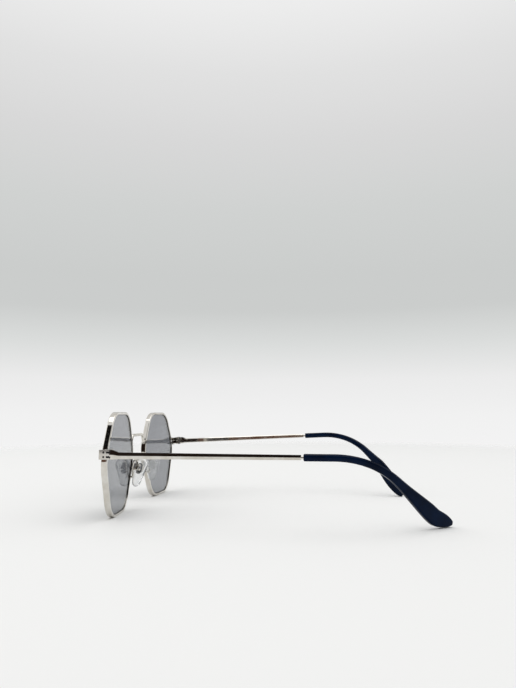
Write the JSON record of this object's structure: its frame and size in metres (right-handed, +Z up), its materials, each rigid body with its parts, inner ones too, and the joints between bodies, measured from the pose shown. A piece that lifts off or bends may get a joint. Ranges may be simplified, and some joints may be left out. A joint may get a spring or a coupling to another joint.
{
  "type": "hexagonal eyeglasses",
  "caption": "Metal full-rim hexagonal sunglasses with flat grey lenses, a wire bridge, clear screw-on nose pads, folding temples and dark moulded temple tips.",
  "frame": {"origin": "middle of the footprint, on the surface that the rims and the temple tips stand on", "axes": "+Z up, +Y from the lenses back to the temple tips, +X to the wearer's left"},
  "size_m": [0.134, 0.1454, 0.0457],
  "materials": {
    "polished_silver": "polished silver-coloured plating",
    "steel": "bare steel",
    "grey_lens": "polished grey sun lens",
    "clear_pad": "clear and smooth",
    "navy_tip": "glossy"
  },
  "bodies": {
    "front": {"bridge": "polished_silver", "left_rim": "polished_silver", "left_lens": "grey_lens", "left_upper_closing_block": "polished_silver", "left_lower_closing_block": "polished_silver", "left_rim_screw": "steel", "left_end_piece": "polished_silver", "left_front_hinge": "polished_silver", "left_hinge_screw": "steel", "left_pad_arm": "polished_silver", "left_pad_box": "polished_silver", "left_pad_screw": "steel", "right_rim": "polished_silver", "right_lens": "grey_lens", "right_upper_closing_block": "polished_silver", "right_lower_closing_block": "polished_silver", "right_rim_screw": "steel", "right_end_piece": "polished_silver", "right_front_hinge": "polished_silver", "right_hinge_screw": "steel", "right_pad_arm": "polished_silver", "right_pad_box": "polished_silver", "right_pad_screw": "steel"},
    "left_temple_body": {"left_temple": "polished_silver", "left_temple_hinge": "polished_silver", "left_temple_tip": "navy_tip"},
    "right_temple_body": {"right_temple": "polished_silver", "right_temple_hinge": "polished_silver", "right_temple_tip": "navy_tip"},
    "left_pad_body": {"left_nose_pad": "clear_pad", "left_pad_core": "steel"},
    "right_pad_body": {"right_nose_pad": "clear_pad", "right_pad_core": "steel"}
  },
  "joints": [
    {"name": "left_temple_fold", "type": "hinge", "parent": "front", "child": "left_temple_body", "pos_m": [0.05865, -0.06394, 0.02843], "axis": [0, 0, 1], "range_deg": [0, 89.5]},
    {"name": "right_temple_fold", "type": "hinge", "parent": "front", "child": "right_temple_body", "pos_m": [-0.06444, -0.06384, 0.02877], "axis": [0, 0.0454, -0.999], "range_deg": [-7.5, 66]},
    {"name": "left_pad_rock", "type": "hinge", "parent": "front", "child": "left_pad_body", "pos_m": [0.0091, -0.06743, 0.01891], "axis": [-0.3256, -0.9455, 0], "range_deg": [-8, 8]},
    {"name": "right_pad_rock", "type": "hinge", "parent": "front", "child": "right_pad_body", "pos_m": [-0.0149, -0.06689, 0.0191], "axis": [0.3256, -0.9445, -0.0429], "range_deg": [-8, 8]}
  ]
}
